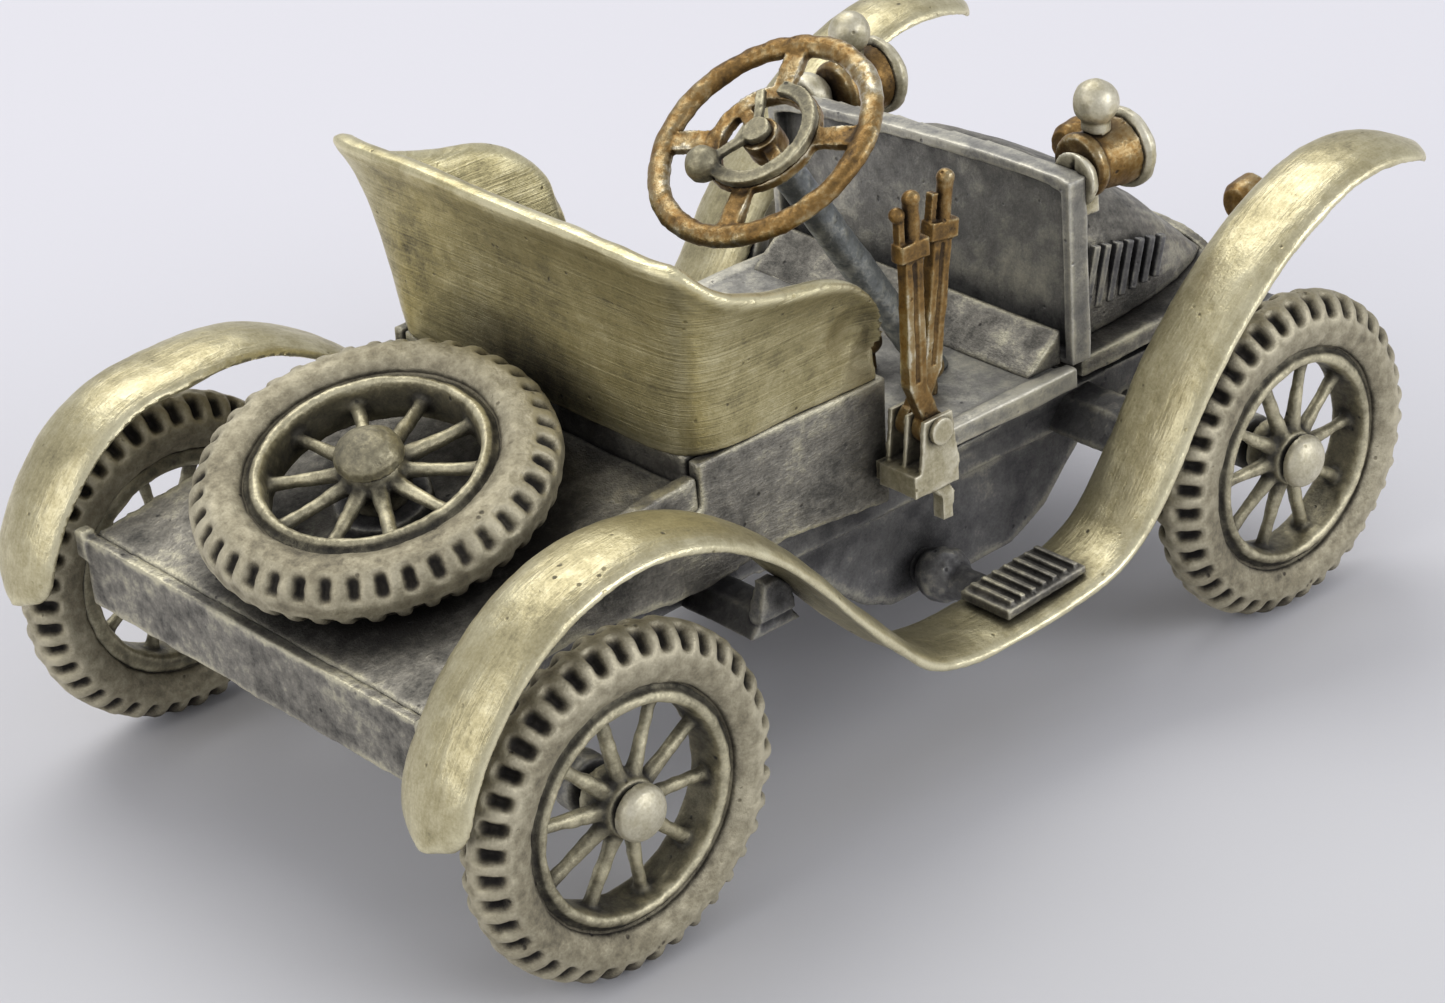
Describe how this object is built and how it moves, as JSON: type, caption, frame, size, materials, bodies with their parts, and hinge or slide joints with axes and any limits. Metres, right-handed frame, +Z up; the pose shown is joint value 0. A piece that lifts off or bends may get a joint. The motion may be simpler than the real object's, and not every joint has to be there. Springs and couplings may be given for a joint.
{
  "type": "diecast collector car",
  "caption": "Small cast-metal open runabout of the early motoring age, with spoked wheels, sweeping fenders, a winged bench seat, brass lamps and a flat-lying spare wheel.",
  "frame": {"origin": "centre of the overall box at ground level, where the four tyres stand", "axes": "+X forward along the car, +Y to the car's left, +Z up"},
  "size_m": [0.0857, 0.0508, 0.0438],
  "materials": {
    "tyre_metal": "worn pewter, lugs brightened, dark recesses",
    "wheel_metal": "aged pewter, dark between the spokes",
    "bright_metal": "satin white metal, rubbed bright",
    "brass_wash": "thin brass wash worn on the edges",
    "brushed_metal": "brushed satin, warm",
    "body_metal": "aged satin pewter",
    "cushion_metal": "dark oxidised pewter",
    "dark_metal": "dark oxidised pewter"
  },
  "bodies": {
    "chassis": {"chassis_frame": "dark_metal", "under_pan": "dark_metal", "rear_axle_beam": "dark_metal", "front_axle_beam": "dark_metal", "rear_springs": "dark_metal", "front_springs": "dark_metal", "rear_axle_rod": "bright_metal", "front_axle_rod": "bright_metal", "spare_wheel": "wheel_metal", "spare_tyre": "tyre_metal", "spare_stud": "bright_metal", "spare_rest": "dark_metal", "rear_deck": "body_metal", "tail_panel": "body_metal", "quarter_panels": "body_metal", "seat_base": "body_metal", "seat_shell": "brushed_metal", "seat_cushion": "cushion_metal", "floor_plate": "body_metal", "toe_board": "body_metal", "dash_frame": "body_metal", "hood": "dark_metal", "hood_skirt": "dark_metal", "hood_louvers": "body_metal", "radiator_plate": "body_metal", "fender_right": "brushed_metal", "fender_left": "brushed_metal", "step_plates": "dark_metal", "body_blocks": "dark_metal", "rear_stays": "dark_metal", "front_stays": "dark_metal", "board_brackets": "dark_metal", "cowl_lamps": "brass_wash", "lamp_rims": "bright_metal", "lamp_caps": "bright_metal", "lamp_brackets": "bright_metal", "front_lamps": "brass_wash", "front_lamp_posts": "dark_metal", "steering_column": "dark_metal", "lever_bracket": "bright_metal", "lever_pin": "bright_metal", "pedals": "brass_wash"},
    "wheel_rr": {"wheel_rear_right": "wheel_metal", "tyre_rear_right": "tyre_metal"},
    "wheel_rl": {"wheel_rear_left": "wheel_metal", "tyre_rear_left": "tyre_metal"},
    "wheel_fr": {"wheel_front_right": "wheel_metal", "tyre_front_right": "tyre_metal"},
    "wheel_fl": {"wheel_front_left": "wheel_metal", "tyre_front_left": "tyre_metal"},
    "steering": {"steering_wheel": "brass_wash", "steering_quadrant": "bright_metal"},
    "gear_hand": {"gear_lever": "brass_wash"},
    "brake_hand": {"brake_lever": "brass_wash"}
  },
  "joints": [
    {"name": "wheel_rr_spin", "type": "hinge", "parent": "chassis", "child": "wheel_rr", "pos_m": [-0.02995, -0.0224, 0.0112], "axis": [0, 1, 0], "continuous": true},
    {"name": "wheel_rl_spin", "type": "hinge", "parent": "chassis", "child": "wheel_rl", "pos_m": [-0.02995, 0.0224, 0.0112], "axis": [0, 1, 0], "continuous": true},
    {"name": "wheel_fr_spin", "type": "hinge", "parent": "chassis", "child": "wheel_fr", "pos_m": [0.02785, -0.0224, 0.0112], "axis": [0, 1, 0], "continuous": true},
    {"name": "wheel_fl_spin", "type": "hinge", "parent": "chassis", "child": "wheel_fl", "pos_m": [0.02785, 0.0224, 0.0112], "axis": [0, 1, 0], "continuous": true},
    {"name": "steering_turn", "type": "hinge", "parent": "chassis", "child": "steering", "pos_m": [-0.00215, -0.007, 0.0392], "axis": [-0.5446, 0, 0.8387], "continuous": true},
    {"name": "gear_swing", "type": "hinge", "parent": "chassis", "child": "gear_hand", "pos_m": [0.00045, -0.0163, 0.0222], "axis": [0, 1, 0], "range_deg": [-12, 6]},
    {"name": "brake_swing", "type": "hinge", "parent": "chassis", "child": "brake_hand", "pos_m": [0.00045, -0.0177, 0.0222], "axis": [0, 1, 0], "range_deg": [-14, 12]}
  ]
}
